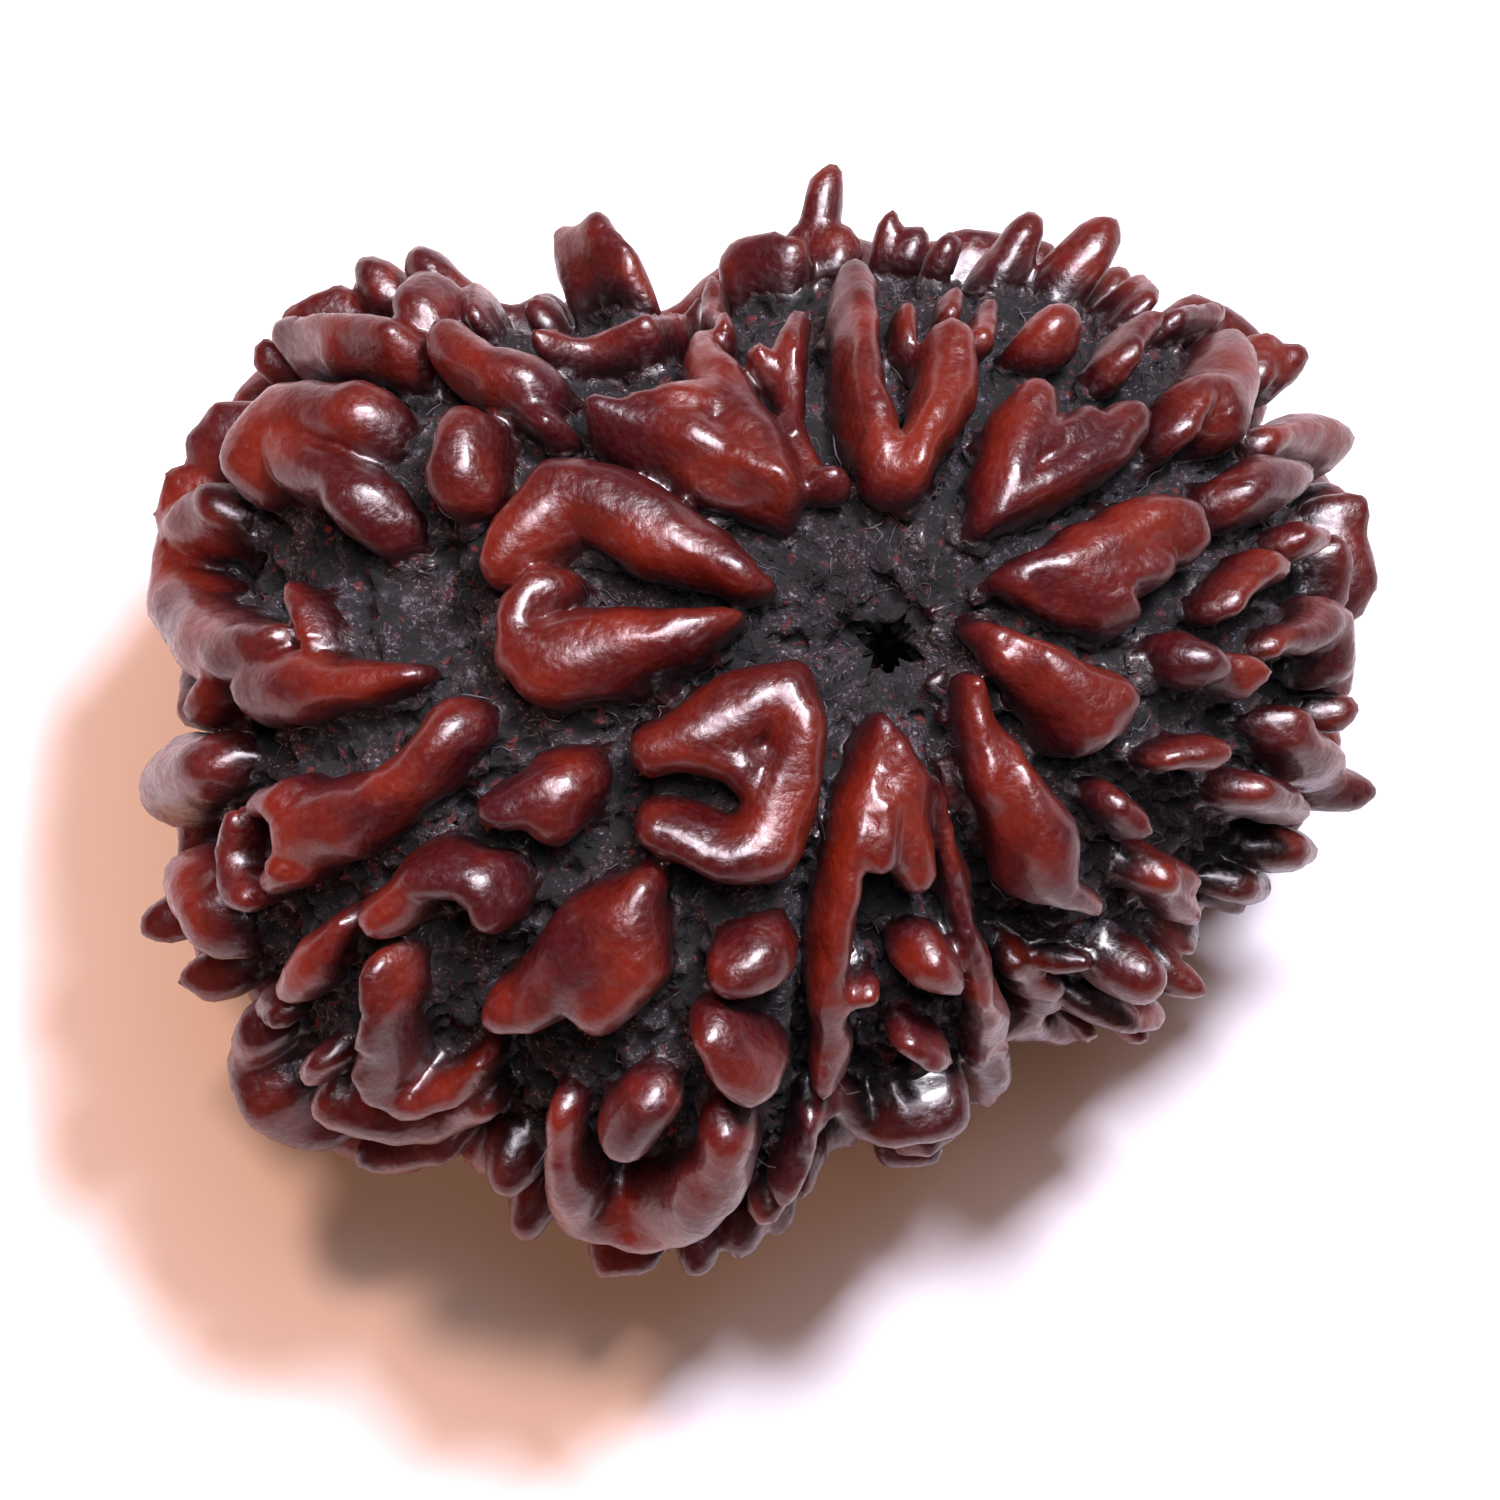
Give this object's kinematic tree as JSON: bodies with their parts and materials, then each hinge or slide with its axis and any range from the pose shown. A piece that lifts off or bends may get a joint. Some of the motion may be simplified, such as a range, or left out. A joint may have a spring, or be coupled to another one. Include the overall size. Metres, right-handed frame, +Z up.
{
  "type": "eleven mukhi rudraksha",
  "caption": "Whole rudraksha seed bead: heart-shaped seed stone with tall waxy reddish brown lobes between furrows from pole to pole, and a thread hole.",
  "frame": {"origin": "under the middle of the seed's box, on the surface that it rests on", "axes": "+Z up along the thread hole, +X to the picture's right, the seen face looks up and towards -Y"},
  "size_m": [0.0248, 0.0218, 0.0173],
  "materials": {
    "waxy_stone": "dark reddish brown seed stone, oiled and waxy on the lobes, rough and dusty near-black in the furrows"
  },
  "bodies": {
    "root": {"rudraksha_bead": "waxy_stone"}
  },
  "joints": []
}
